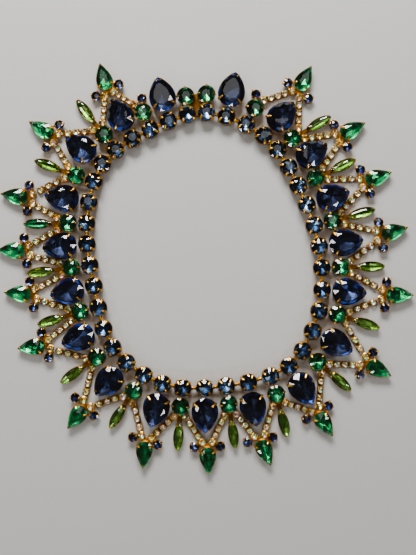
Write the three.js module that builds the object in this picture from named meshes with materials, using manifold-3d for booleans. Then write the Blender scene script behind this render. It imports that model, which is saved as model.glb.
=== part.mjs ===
// Bib necklace of foiled glass stones in gilt brass cups, lying in a closed loop on a flat surface.
// Millimetres, +Z up. The cups stand on z = 0 and the origin is under the middle of the whole necklace.
import * as THREE from 'three';
import { mergeVertices } from 'three/addons/utils/BufferGeometryUtils.js';
import Module from 'manifold-3d';

const wasm = await Module();
wasm.setup();

// Air left between pieces that are soldered or hooked together on the real necklace
const SEAT_GAP = 0.3;

// Neck row: round dark blue stones joined by short barrel links
const CHATON_DIAMETER = 8.8;
const CHATON_GIRDLE = 3.9;
const CHATON_HEIGHT = 5.5;
const LINK_DIAMETER = 2.2;
const LINK_HEIGHT = 2.95;

// Large dark blue pears, one outside every second chaton
const PEAR_LENGTH = 17.0;
const PEAR_WIDTH = 13.2;
const PEAR_GIRDLE = 4.3;
const PEAR_HEIGHT = 6.8;
const PEAR_CLAW_WIDTH = 1.3;
const PEAR_CLAW_LENGTH = 1.7;

// Green rounds, one outside each chaton between two pears
const GREEN_DIAMETER = 8.8;
const GREEN_GIRDLE = 4.0;
const GREEN_HEIGHT = 5.7;

// Marquises that point outwards from the green rounds
const MARQUISE_LENGTH = 14.0;
const MARQUISE_WIDTH = 5.2;
const MARQUISE_GIRDLE = 1.9;
const MARQUISE_HEIGHT = 2.9;
const MARQUISE_START = 7.9;
const STEM_WIDTH = 1.1;
const STEM_THICKNESS = 0.8;

// Spikes: a V of iridescent stones that carries a green pear and two small blue rounds. Each arm has
// a larger stone at either end and a fine cup chain between them, which is a plain bar here
const ARM_END_STONE_DIAMETER = 3.7;
const ARM_STONE_HEIGHT = 2.2;
const ARM_CHAIN_WIDTH = 2.8;
const ARM_CHAIN_HEIGHT = 1.8;
const ARM_SPREAD = 28;
const ARM_SPREAD_AT_END = 43;
const ARM_END_HALF_GAP = 2.4;
const YOKE_THICKNESS = 0.9;
const TIP_PEAR_LENGTH = 13.6;
const TIP_PEAR_WIDTH = 8.3;
const TIP_PEAR_GIRDLE = 2.4;
const TIP_PEAR_HEIGHT = 3.9;
const SIDE_ROUND_DIAMETER = 4.8;
const SIDE_ROUND_HEIGHT = 3.0;
const SIDE_ROUND_OFFSET = 6.2;

// Height at which marquises and spikes are soldered to the sides of the cups
const SPRAY_LIFT = 0.5;

// Flat box clasp under the two cups at the back of the neck
const CLASP_LENGTH = 14;
const CLASP_DEPTH = 11;
const CLASP_THICKNESS = 1.7;

// Cup and stone proportions, as shares of the stone's outline
const CUP_FOOT_SHARE = 0.62;
const TABLE_SHARE = 0.56;
const SMALL_FOOT_SHARE = 0.8;
const SMALL_TABLE_SHARE = 0.6;

// How pointed an outline is at an end: 0 is round, 1 a sharp drop
const PEAR_POINT = 0.55;
const TIP_PEAR_POINT = 1.2;
const MARQUISE_POINT = 0.3;

const ROUND_SIDES = 10;
const POINTED_SIDES = 12;
const SMALL_SIDES = 8;

// Line of the neck row seen from above, a point for every third cup, clockwise from the clasp
const CUPS_PER_POINT = 3;
const FIRST_POINT_CUP = 2;
const NECKLINE = [
  [-0.5, 74.5],
  [27, 63.5],
  [43.5, 39.5],
  [53.5, 10.5],
  [53.5, -20.5],
  [39, -47],
  [9, -56.5],
  [-21.5, -55.5],
  [-45.5, -38],
  [-54.5, -8.5],
  [-58, 21.5],
  [-50.5, 50],
  [-27.5, 66.5],
];

// How each unit lies: degrees clockwise from square to the neck row, a spike's reach in mm, and the
// degrees by which its green pear is turned clockwise from the spike's own line
const PEAR_UNITS = [
  { cup: 3, pearLean: -4 },
  { cup: 5, pearLean: 4, spikeLean: -2, reach: 41, tipTurn: -9 },
  { cup: 7, pearLean: 0, spikeLean: -1, reach: 43, tipTurn: 3 },
  { cup: 9, pearLean: 5, spikeLean: 0, reach: 44, tipTurn: 3 },
  { cup: 11, pearLean: 2, spikeLean: 0, reach: 44, tipTurn: -6 },
  { cup: 13, pearLean: 1, spikeLean: 1, reach: 44.5, tipTurn: -3 },
  { cup: 15, pearLean: 4, spikeLean: 8, reach: 44, tipTurn: -3 },
  { cup: 17, pearLean: 7, spikeLean: 7, reach: 40, tipTurn: -2 },
  { cup: 19, pearLean: 2, spikeLean: 1, reach: 42, tipTurn: -12 },
  { cup: 21, pearLean: 2, spikeLean: 0, reach: 42, tipTurn: 0 },
  { cup: 23, pearLean: -3, spikeLean: -1, reach: 42.5, tipTurn: -12 },
  { cup: 25, pearLean: 2, spikeLean: 2, reach: 43, tipTurn: -6 },
  { cup: 27, pearLean: 0, spikeLean: 4, reach: 43, tipTurn: 9 },
  { cup: 29, pearLean: -1.5, spikeLean: 3, reach: 44, tipTurn: 13 },
  { cup: 31, pearLean: -1.5, spikeLean: -2, reach: 43.5, tipTurn: 8 },
  { cup: 33, pearLean: -1, spikeLean: -6, reach: 43, tipTurn: 6 },
  { cup: 35, pearLean: 2, spikeLean: -5, reach: 41, tipTurn: 2 },
  { cup: 37, pearLean: 2, spikeLean: 3, reach: 40, tipTurn: 12 },
  { cup: 39, pearLean: 8 },
];
const GREEN_UNITS = [
  { cup: 1, kind: 'top', lean: 7 },
  { cup: 2, kind: 'top', lean: -2 },
  { cup: 4, kind: 'end', lean: 0, sprayLean: -22 },
  { cup: 6, kind: 'leaf', lean: 0, sprayLean: 8 },
  { cup: 8, kind: 'leaf', lean: 2, sprayLean: 1 },
  { cup: 10, kind: 'leaf', lean: 3, sprayLean: 1 },
  { cup: 12, kind: 'leaf', lean: 2, sprayLean: 3 },
  { cup: 14, kind: 'leaf', lean: -2, sprayLean: 5 },
  { cup: 16, kind: 'leaf', lean: 2, sprayLean: 7 },
  { cup: 18, kind: 'leaf', lean: 4, sprayLean: 7 },
  { cup: 20, kind: 'leaf', lean: 0, sprayLean: -1 },
  { cup: 22, kind: 'leaf', lean: 2, sprayLean: -2 },
  { cup: 24, kind: 'leaf', lean: 3, sprayLean: 2 },
  { cup: 26, kind: 'leaf', lean: 3, sprayLean: -2 },
  { cup: 28, kind: 'leaf', lean: -1.5, sprayLean: -4 },
  { cup: 30, kind: 'leaf', lean: 0, sprayLean: 2 },
  { cup: 32, kind: 'leaf', lean: -2, sprayLean: -4 },
  { cup: 34, kind: 'leaf', lean: 0, sprayLean: 1 },
  { cup: 36, kind: 'leaf', lean: 2, sprayLean: 2 },
  { cup: 38, kind: 'end', lean: 4, sprayLean: 20 },
];
const CUP_COUNT = NECKLINE.length * CUPS_PER_POINT;
// The neck row is made as two halves, which meet at the clasp and at the middle of the front
const RIGHT_HALF_LAST_CUP = Math.ceil(CUP_COUNT / 2) + 1;

const MATERIALS = {
  neckRow: new THREE.MeshStandardMaterial({ color: 0x1d3458, roughness: 0.15, metalness: 0.3 }),
  bluePear: new THREE.MeshStandardMaterial({ color: 0x101c4a, roughness: 0.08, metalness: 0.2 }),
  green: new THREE.MeshStandardMaterial({ color: 0x0c7a3e, roughness: 0.1, metalness: 0.2 }),
  spike: new THREE.MeshStandardMaterial({ color: 0xb99a5a, roughness: 0.2, metalness: 0.7 }),
  gilt: new THREE.MeshStandardMaterial({ color: 0xc08a35, roughness: 0.3, metalness: 1.0 }),
};

// A geometry as a closed solid, ready to be joined to others
function solidOf(geometry) {
  const bare = geometry.clone();
  bare.deleteAttribute('normal');
  bare.deleteAttribute('uv');
  const merged = mergeVertices(bare, 1e-4);
  const corners = merged.index.array;
  const triangles = [];
  for (let i = 0; i < corners.length; i += 3) {
    const [a, b, c] = [corners[i], corners[i + 1], corners[i + 2]];
    if (a !== b && b !== c && c !== a) triangles.push(a, b, c);
  }
  return new wasm.Manifold(new wasm.Mesh({
    numProp: 3,
    vertProperties: Float32Array.from(merged.attributes.position.array),
    triVerts: Uint32Array.from(triangles),
  }));
}

// Several overlapping geometries soldered into one, without the seams inside its flat faces
const FLATNESS = 0.005;

function soldered(geometries) {
  const joined = wasm.Manifold.union(geometries.map(solidOf)).asOriginal().simplify(FLATNESS);
  const { vertProperties, triVerts } = joined.getMesh();
  const geometry = new THREE.BufferGeometry();
  geometry.setAttribute('position', new THREE.BufferAttribute(vertProperties, 3));
  geometry.setIndex(new THREE.BufferAttribute(triVerts, 1));
  geometry.computeVertexNormals();
  return geometry;
}

// Outline of a stone at parameter t: the point end lies at t = 0 and the tail at t = PI
const WIDTH_SAMPLES = 90;

function outlinePoint(t, { length, width, point = 0, tail = 0 }) {
  const narrowing = (u) => Math.abs(Math.sin(u / 2)) ** point * Math.abs(Math.cos(u / 2)) ** tail;
  const samples = Array.from({ length: WIDTH_SAMPLES }, (_, i) => (i / WIDTH_SAMPLES) * Math.PI);
  const widest = Math.max(...samples.map((u) => Math.sin(u) * narrowing(u)));
  return [(length / 2) * Math.cos(t), (width / 2) * Math.sin(t) * narrowing(t) / widest];
}

// A cut stone in its cup: facets rise from the foot to the girdle and from there to the flat table
function stoneInCup({ outline, sides, bottom = 0, girdle, top, foot = CUP_FOOT_SHARE, table = TABLE_SHARE }) {
  const profile = [[0, bottom], [foot, bottom], [1, girdle], [table, top], [0, top]];
  const geometry = new THREE.LatheGeometry(profile.map(([r, z]) => new THREE.Vector2(r, z)), sides);
  geometry.rotateX(Math.PI / 2);
  const places = geometry.attributes.position;
  for (let i = 0; i < places.count; i += 1) {
    const share = Math.hypot(places.getX(i), places.getY(i));
    const [x, y] = outlinePoint(Math.atan2(places.getY(i), places.getX(i)), outline);
    places.setXY(i, share * x, share * y);
  }
  return geometry;
}

// A low stone in a plain cup with one ring of facets, used where stones are only a few mm wide
function smallStone(diameter, bottom, top) {
  const radius = diameter / 2;
  const profile = [[0, bottom], [radius, bottom], [radius * SMALL_TABLE_SHARE, top], [0, top]];
  const geometry = new THREE.LatheGeometry(profile.map(([r, z]) => new THREE.Vector2(r, z)), SMALL_SIDES);
  return geometry.rotateX(Math.PI / 2);
}

// A straight bar between two points in plan, lying from bottom to bottom + thickness
function bar(from, to, width, bottom, thickness) {
  const length = Math.hypot(to[0] - from[0], to[1] - from[1]);
  const geometry = new THREE.BoxGeometry(length, width, thickness);
  geometry.rotateZ(Math.atan2(to[1] - from[1], to[0] - from[0]));
  return geometry.translate((from[0] + to[0]) / 2, (from[1] + to[1]) / 2, bottom + thickness / 2);
}

const neckline = new THREE.CatmullRomCurve3(
  NECKLINE.map(([x, y]) => new THREE.Vector3(x, y, 0)), true, 'catmullrom', 0.5,
);
const cupParameter = (cup) => ((cup - FIRST_POINT_CUP + CUP_COUNT) % CUP_COUNT) / CUP_COUNT;

// Place of a cup and the direction square to the neck row there, pointing out of the loop
function seatOf(cup) {
  const place = neckline.getPoint(cupParameter(cup));
  const before = neckline.getPoint(cupParameter(cup - 1));
  const after = neckline.getPoint(cupParameter(cup + 1));
  const along = Math.atan2(after.y - before.y, after.x - before.x);
  return { x: place.x, y: place.y, outward: along + Math.PI / 2 };
}

// A seat a given distance out from another, in a direction that leans clockwise by some degrees
function seatBeyond(seat, distance, lean) {
  const outward = seat.outward - THREE.MathUtils.degToRad(lean);
  return { x: seat.x + distance * Math.cos(outward), y: seat.y + distance * Math.sin(outward), outward };
}

const necklace = new THREE.Group();

function addMesh(name, geometry, material, seat = { x: 0, y: 0, outward: 0 }) {
  const mesh = new THREE.Mesh(geometry, material);
  mesh.name = name;
  mesh.position.set(seat.x, seat.y, 0);
  mesh.rotation.z = seat.outward;
  necklace.add(mesh);
}

const label = (kind, cup) => `${kind}_${String(cup).padStart(2, '0')}`;

// The cups over the clasp are shallower and stand on its lid
const CLASP_CUPS = [1, 2];
const footHeight = (cup) => (CLASP_CUPS.includes(cup) ? CLASP_THICKNESS + SEAT_GAP : 0);

// One half of the neck row: its cups, and the links from each cup to the next
function neckRowHalf(firstCup, cupCount, looseEnd) {
  const parts = [];
  for (let i = 0; i < cupCount; i += 1) {
    const cup = firstCup + i;
    const seat = seatOf(cup);
    const round = { length: CHATON_DIAMETER, width: CHATON_DIAMETER };
    const bottom = footHeight(cup > CUP_COUNT ? cup - CUP_COUNT : cup);
    const stone = stoneInCup({
      outline: round, sides: ROUND_SIDES, bottom, girdle: CHATON_GIRDLE, top: CHATON_HEIGHT,
    });
    parts.push(stone.rotateZ(seat.outward).translate(seat.x, seat.y, 0));
    if (i < cupCount - 1 || looseEnd) parts.push(link(seat, seatOf(cup + 1), i === cupCount - 1));
  }
  return soldered(parts);
}

// A barrel link from inside one cup to inside the next, or to just short of it at the loose end
function link(from, to, loose) {
  const pitch = Math.hypot(to.x - from.x, to.y - from.y);
  const shareAtLink = CUP_FOOT_SHARE + (1 - CUP_FOOT_SHARE) * LINK_HEIGHT / CHATON_GIRDLE;
  const start = (CHATON_DIAMETER / 2) * shareAtLink - LINK_DIAMETER / 2;
  const end = loose ? pitch - CHATON_DIAMETER / 2 - SEAT_GAP : pitch - start;
  const barrel = new THREE.CylinderGeometry(LINK_DIAMETER / 2, LINK_DIAMETER / 2, end - start, 6);
  barrel.rotateZ(Math.PI / 2).translate((start + end) / 2, 0, LINK_HEIGHT);
  return barrel.rotateZ(Math.atan2(to.y - from.y, to.x - from.x)).translate(from.x, from.y, 0);
}

addMesh('stone_chain_right', neckRowHalf(2, RIGHT_HALF_LAST_CUP - 1, true), MATERIALS.neckRow);
addMesh(
  'stone_chain_left',
  neckRowHalf(RIGHT_HALF_LAST_CUP + 1, CUP_COUNT - RIGHT_HALF_LAST_CUP + 1, false),
  MATERIALS.neckRow,
);

// Large pears, each with three broad claws bent over its girdle
const PEAR_CLAW_PARAMETERS = [0, Math.PI * 0.8, Math.PI * 1.2];
const pearOutline = { length: PEAR_LENGTH, width: PEAR_WIDTH, point: PEAR_POINT };

function bluePear() {
  const parts = [stoneInCup({
    outline: pearOutline, sides: POINTED_SIDES, girdle: PEAR_GIRDLE, top: PEAR_HEIGHT,
  })];
  for (const t of PEAR_CLAW_PARAMETERS) {
    const [x, y] = outlinePoint(t, pearOutline);
    const claw = new THREE.BoxGeometry(PEAR_CLAW_LENGTH, PEAR_CLAW_WIDTH, PEAR_CLAW_WIDTH);
    claw.translate(-PEAR_CLAW_LENGTH / 2, 0, PEAR_GIRDLE).rotateZ(Math.atan2(y, x)).translate(x, y, 0);
    parts.push(claw);
  }
  return soldered(parts);
}

// Radius of a many-sided stone at the middle of a side
const flatRadius = (diameter, sides) => (diameter / 2) * Math.cos(Math.PI / sides);
const rowEdge = flatRadius(CHATON_DIAMETER, ROUND_SIDES) + SEAT_GAP;
const pearDistance = rowEdge + PEAR_LENGTH / 2;
for (const { cup, pearLean } of PEAR_UNITS) {
  const seat = seatBeyond(seatOf(cup), pearDistance, pearLean);
  addMesh(label('blue_pear', cup), bluePear(), MATERIALS.bluePear, seat);
}

// Green rounds, alone at the clasp, with a small blue round at the ends, else with a marquise
const greenDistance = rowEdge + GREEN_DIAMETER / 2;
const greenSeats = new Map(GREEN_UNITS.map(({ cup, kind, lean, sprayLean }) => {
  const seat = seatOf(cup);
  const { x, y } = seatBeyond(seat, greenDistance, lean);
  const turned = seatBeyond({ x, y, outward: seat.outward }, 0, sprayLean ?? lean);
  return [cup, { ...turned, armSpread: kind === 'end' ? ARM_SPREAD_AT_END : ARM_SPREAD }];
}));
const greenOutline = { length: GREEN_DIAMETER, width: GREEN_DIAMETER };
const marquiseOutline = {
  length: MARQUISE_LENGTH, width: MARQUISE_WIDTH, point: MARQUISE_POINT, tail: MARQUISE_POINT,
};

function greenUnit({ cup, kind }) {
  const parts = [stoneInCup({
    outline: greenOutline,
    sides: ROUND_SIDES,
    bottom: footHeight(cup),
    girdle: GREEN_GIRDLE,
    top: GREEN_HEIGHT,
  })];
  if (kind === 'end') {
    const distance = (GREEN_DIAMETER + SIDE_ROUND_DIAMETER) / 2;
    const round = smallStone(SIDE_ROUND_DIAMETER, SPRAY_LIFT, SPRAY_LIFT + SIDE_ROUND_HEIGHT);
    parts.push(round.translate(distance, 0, 0));
    parts.push(bar([0, 0], [distance, 0], STEM_WIDTH, SPRAY_LIFT, STEM_THICKNESS));
  }
  if (kind === 'leaf') {
    const middle = MARQUISE_START + MARQUISE_LENGTH / 2;
    parts.push(stoneInCup({
      outline: marquiseOutline,
      sides: POINTED_SIDES,
      bottom: SPRAY_LIFT,
      girdle: SPRAY_LIFT + MARQUISE_GIRDLE,
      top: SPRAY_LIFT + MARQUISE_HEIGHT,
    }).translate(middle, 0, 0));
    parts.push(bar([0, 0], [middle, 0], STEM_WIDTH, SPRAY_LIFT, STEM_THICKNESS));
  }
  return soldered(parts);
}

for (const unit of GREEN_UNITS) {
  addMesh(label(`green_${unit.kind}`, unit.cup), greenUnit(unit), MATERIALS.green, greenSeats.get(unit.cup));
}

// Spikes, drawn with x along the spike from the cup that it stands beside
function spike({ cup, spikeLean, reach, tipTurn }) {
  const base = seatBeyond(seatOf(cup), 0, spikeLean);
  const toSpike = ({ x, y }) => {
    const [dx, dy] = [x - base.x, y - base.y];
    const [c, s] = [Math.cos(base.outward), Math.sin(base.outward)];
    return [dx * c + dy * s, dy * c - dx * s];
  };
  const footRadius = flatRadius(ARM_END_STONE_DIAMETER, SMALL_SIDES);
  const footDistance = flatRadius(GREEN_DIAMETER, ROUND_SIDES) + SEAT_GAP + footRadius;
  const tipStart = reach - TIP_PEAR_LENGTH;
  const armEnd = tipStart - ARM_END_STONE_DIAMETER / 2;
  const parts = [];
  for (const side of [1, -1]) {
    // The arm on the clockwise side starts on the next green round, the other on the one before
    const green = greenSeats.get(cup - side);
    const foot = toSpike(seatBeyond(green, footDistance, side * green.armSpread));
    const end = [armEnd, side * ARM_END_HALF_GAP];
    parts.push(bar(foot, end, ARM_CHAIN_WIDTH, SPRAY_LIFT, ARM_CHAIN_HEIGHT));
    for (const [x, y] of [foot, end]) {
      const stone = smallStone(ARM_END_STONE_DIAMETER, SPRAY_LIFT, SPRAY_LIFT + ARM_STONE_HEIGHT);
      stone.rotateZ(Math.atan2(end[1] - foot[1], end[0] - foot[0]));
      parts.push(stone.translate(x, y, 0));
    }
    const round = smallStone(SIDE_ROUND_DIAMETER, SPRAY_LIFT, SPRAY_LIFT + SIDE_ROUND_HEIGHT);
    parts.push(round.translate(tipStart, side * SIDE_ROUND_OFFSET, 0));
  }
  // A plate under the tip solders both arms, both small rounds and the green pear together
  const yokeEnd = tipStart + (1 - SMALL_FOOT_SHARE) * TIP_PEAR_LENGTH / 2 + SEAT_GAP;
  const yokeLength = 2 * SIDE_ROUND_OFFSET;
  const yoke = new THREE.BoxGeometry(yokeEnd - armEnd, yokeLength, YOKE_THICKNESS);
  parts.push(yoke.translate((yokeEnd + armEnd) / 2, 0, SPRAY_LIFT + YOKE_THICKNESS / 2));
  const tipPear = stoneInCup({
    outline: { length: TIP_PEAR_LENGTH, width: TIP_PEAR_WIDTH, point: TIP_PEAR_POINT },
    sides: POINTED_SIDES,
    bottom: SPRAY_LIFT,
    girdle: SPRAY_LIFT + TIP_PEAR_GIRDLE,
    top: SPRAY_LIFT + TIP_PEAR_HEIGHT,
    foot: SMALL_FOOT_SHARE,
  });
  tipPear.translate(TIP_PEAR_LENGTH / 2, 0, 0).rotateZ(THREE.MathUtils.degToRad(-tipTurn));
  parts.push(tipPear.translate(tipStart, 0, 0));
  return { geometry: soldered(parts), base };
}

for (const unit of PEAR_UNITS.filter(({ reach }) => reach)) {
  const { geometry, base } = spike(unit);
  addMesh(label('spike', unit.cup), geometry, MATERIALS.spike, base);
}

// The clasp lies across the back of the neck, under the four shallow cups
const claspSeats = CLASP_CUPS.flatMap((cup) => [seatOf(cup), greenSeats.get(cup)]);
const mean = (values) => values.reduce((sum, value) => sum + value, 0) / values.length;
const claspSeat = {
  x: mean(claspSeats.map(({ x }) => x)),
  y: mean(claspSeats.map(({ y }) => y)),
  outward: Math.atan2(seatOf(2).y - seatOf(1).y, seatOf(2).x - seatOf(1).x),
};
const claspBox = new THREE.BoxGeometry(CLASP_LENGTH, CLASP_DEPTH, CLASP_THICKNESS);
addMesh('clasp', claspBox.translate(0, 0, CLASP_THICKNESS / 2), MATERIALS.gilt, claspSeat);

// Bring the middle of the necklace over the origin
const extent = new THREE.Box3().setFromObject(necklace, true);
const middle = extent.getCenter(new THREE.Vector3());
for (const mesh of necklace.children) mesh.position.sub(new THREE.Vector3(middle.x, middle.y, 0));

export default necklace;
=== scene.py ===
import math
import random

import bpy
from mathutils import Matrix, Vector


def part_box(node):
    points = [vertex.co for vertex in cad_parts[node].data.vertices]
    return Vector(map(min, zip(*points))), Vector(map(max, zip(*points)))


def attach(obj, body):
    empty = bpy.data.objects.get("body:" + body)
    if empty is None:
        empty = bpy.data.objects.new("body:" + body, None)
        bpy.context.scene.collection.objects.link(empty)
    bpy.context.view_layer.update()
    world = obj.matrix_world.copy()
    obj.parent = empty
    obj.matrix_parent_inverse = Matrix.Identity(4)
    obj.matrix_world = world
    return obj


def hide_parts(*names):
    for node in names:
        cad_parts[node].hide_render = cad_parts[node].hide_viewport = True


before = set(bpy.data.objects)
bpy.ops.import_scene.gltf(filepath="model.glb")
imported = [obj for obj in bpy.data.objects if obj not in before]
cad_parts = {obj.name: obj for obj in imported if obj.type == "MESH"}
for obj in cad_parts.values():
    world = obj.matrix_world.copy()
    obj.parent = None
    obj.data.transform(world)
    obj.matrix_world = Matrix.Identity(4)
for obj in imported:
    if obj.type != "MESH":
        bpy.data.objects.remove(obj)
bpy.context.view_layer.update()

# Floor and lights
# A plain pale floor under a large soft window at the top of the picture, with smaller panels round
# it whose reflections make the glints on the crowns.
MM = 0.001
FLOOR_SIZE = 3000
FLOOR_COLOUR = (0.42, 0.41, 0.39, 1)
FLOOR_ROUGHNESS = 0.9


def solid_mesh(name, points, faces):
    mesh = bpy.data.meshes.new(name)
    mesh.from_pydata([Vector(point) * MM for point in points], [], faces)
    mesh.validate()
    mesh.update()
    return mesh


half = FLOOR_SIZE / 2
floor_mesh = solid_mesh(
    "floor", [(-half, -half, 0), (half, -half, 0), (half, half, 0), (-half, half, 0)], [(0, 1, 2, 3)]
)
floor = bpy.data.objects.new("floor", floor_mesh)
bpy.context.collection.objects.link(floor)
floor_material = bpy.data.materials.new("pale floor")
floor_material.use_nodes = True
floor_shader = floor_material.node_tree.nodes["Principled BSDF"]
floor_shader.inputs["Base Color"].default_value = FLOOR_COLOUR
floor_shader.inputs["Roughness"].default_value = FLOOR_ROUGHNESS
floor_mesh.materials.append(floor_material)

# Each panel: name, azimuth and elevation of its place in degrees, distance, width, height, watts
PANELS = (
    ("window", 97, 33, 700, 400, 200, 12.0),
    ("ceiling glow", 92, 71, 800, 420, 150, 0.3),
    ("left panel", 172, 42, 650, 100, 110, 0.8),
    ("right panel", 15, 44, 650, 80, 100, 0.6),
    ("front panel", 262, 40, 600, 80, 80, 0.5),
    ("front left panel", 220, 30, 600, 60, 70, 0.35),
    ("front right panel", 315, 32, 600, 60, 70, 0.35),
)
for name, azimuth, elevation, distance, width, height, watts in PANELS:
    light = bpy.data.lights.new(name, "AREA")
    light.shape = "RECTANGLE"
    light.size = width * MM
    light.size_y = height * MM
    light.energy = watts
    lamp = bpy.data.objects.new(name, light)
    reach = Vector((
        math.cos(math.radians(azimuth)) * math.cos(math.radians(elevation)),
        math.sin(math.radians(azimuth)) * math.cos(math.radians(elevation)),
        math.sin(math.radians(elevation)),
    ))
    lamp.location = reach * distance * MM
    lamp.rotation_euler = reach.to_track_quat("Z", "Y").to_euler()
    bpy.context.collection.objects.link(lamp)

WARM_FILL = (1, 0.93, 0.84, 1)
WARM_FILL_STRENGTH = 0.1
world = bpy.data.worlds.new("studio")
world.use_nodes = True
world.node_tree.nodes["Background"].inputs["Color"].default_value = WARM_FILL
world.node_tree.nodes["Background"].inputs["Strength"].default_value = WARM_FILL_STRENGTH
bpy.context.scene.world = world

# Neck row
# Thirty-nine round stones of a steel-blue glass, each held by four long claws in a deep cup, and
# joined by barrel links into a closed loop. The two cups over the clasp are shallower.

# Line of the loop, laid face up. The seat of every other piece is worked out from one of its cups: a
# place in plan, in mm, and the direction out of the loop there.
NECKLINE = (
    (-0.5, 74.5),
    (27, 63.5),
    (43.5, 39.5),
    (53.5, 10.5),
    (53.5, -20.5),
    (39, -47),
    (9, -56.5),
    (-21.5, -55.5),
    (-45.5, -38),
    (-54.5, -8.5),
    (-58, 21.5),
    (-50.5, 50),
    (-27.5, 66.5),
)
CUPS_PER_POINT = 3
FIRST_POINT_CUP = 2
CUP_COUNT = CUPS_PER_POINT * len(NECKLINE)
SEAT_GAP = 0.3
ROUND_SIDES = 10
CHATON_DIAMETER = 8.8


def neckline(parameter):
    count = len(NECKLINE)
    index = math.floor(parameter)
    u = parameter - index
    a, b, c, d = (Vector(NECKLINE[(index + step) % count]) for step in (-1, 0, 1, 2))
    bend = 2 * b + (c - a) * u + (2 * a - 5 * b + 4 * c - d) * u**2 + (3 * b - 3 * c + d - a) * u**3
    return 0.5 * bend


def cup_place(cup):
    return neckline((cup - FIRST_POINT_CUP) / CUPS_PER_POINT)


def seat_of(cup):
    place = cup_place(cup)
    along = cup_place(cup + 1) - cup_place(cup - 1)
    return place.x, place.y, math.atan2(along.y, along.x) + math.pi / 2


def seat_beyond(seat, distance, lean):
    x, y, outward = seat
    outward -= math.radians(lean)
    return x + distance * math.cos(outward), y + distance * math.sin(outward), outward


# Seats of the green rounds, two of which lie over the clasp: for each cup the degrees by which the
# round and what it carries lie askew
GREEN_DIAMETER = 8.8
GREEN_LEANS = {
    1: (7, 7), 2: (-2, -2), 4: (0, -22), 6: (0, 8), 8: (2, 1), 10: (3, 1), 12: (2, 3),
    14: (-2, 5), 16: (2, 7), 18: (4, 7), 20: (0, -1), 22: (2, -2), 24: (3, 2), 26: (3, -2),
    28: (-1.5, -4), 30: (0, 2), 32: (-2, -4), 34: (0, 1), 36: (2, 2), 38: (4, 20),
}


def flat_radius(diameter, sides):
    return diameter / 2 * math.cos(math.pi / sides)


row_edge = flat_radius(CHATON_DIAMETER, ROUND_SIDES) + SEAT_GAP
green_seats = {}
for cup, (lean, spray_lean) in GREEN_LEANS.items():
    x, y, _ = seat_beyond(seat_of(cup), row_edge + GREEN_DIAMETER / 2, lean)
    green_seats[cup] = seat_beyond((x, y, seat_of(cup)[2]), 0, spray_lean)

# The frame's origin lies under the middle of the necklace, so the seats move by the clasp's place
CLASP_CUPS = (1, 2)
clasp_seats = [seat for cup in CLASP_CUPS for seat in (seat_of(cup), green_seats[cup])]
clasp_x = sum(seat[0] for seat in clasp_seats) / len(clasp_seats)
clasp_y = sum(seat[1] for seat in clasp_seats) / len(clasp_seats)
clasp_low, clasp_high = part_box("clasp")
SHIFT_X = (clasp_low[0] + clasp_high[0]) / 2 / MM - clasp_x
SHIFT_Y = (clasp_low[1] + clasp_high[1]) / 2 / MM - clasp_y

# Gilt metal of the cups, claws and links: stamped brass with a warm gold plating, tarnished in random
# blotches, and darkened towards the foot of each piece by painted shade up to a given height
GOLD = (0.72, 0.37, 0.035, 1)
SHADED_GOLD = (0.48, 0.21, 0.02, 1)
TARNISH_AND_SHADE = (0.1, 0.04, 0.006, 1)
BLOTCHES_PER_METRE = 420
BLOTCH_DETAIL = 3
BLOTCH_SHARE = 0.35
SHADE_AT_THE_FOOT = 0.85
BRIGHT_ROUGHNESS = 0.2
DULL_ROUGHNESS = 0.55
GRAIN_STRENGTH = 0.25
GRAIN_DEPTH = 0.08


def new_group(name, inputs, outputs):
    group = bpy.data.node_groups.new(name, "ShaderNodeTree")
    for label, kind in inputs:
        group.interface.new_socket(label, in_out="INPUT", socket_type="NodeSocket" + kind)
    for label, kind in outputs:
        group.interface.new_socket(label, in_out="OUTPUT", socket_type="NodeSocket" + kind)
    entry = group.nodes.new("NodeGroupInput")
    result = group.nodes.new("NodeGroupOutput")
    return group, entry, result


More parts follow.
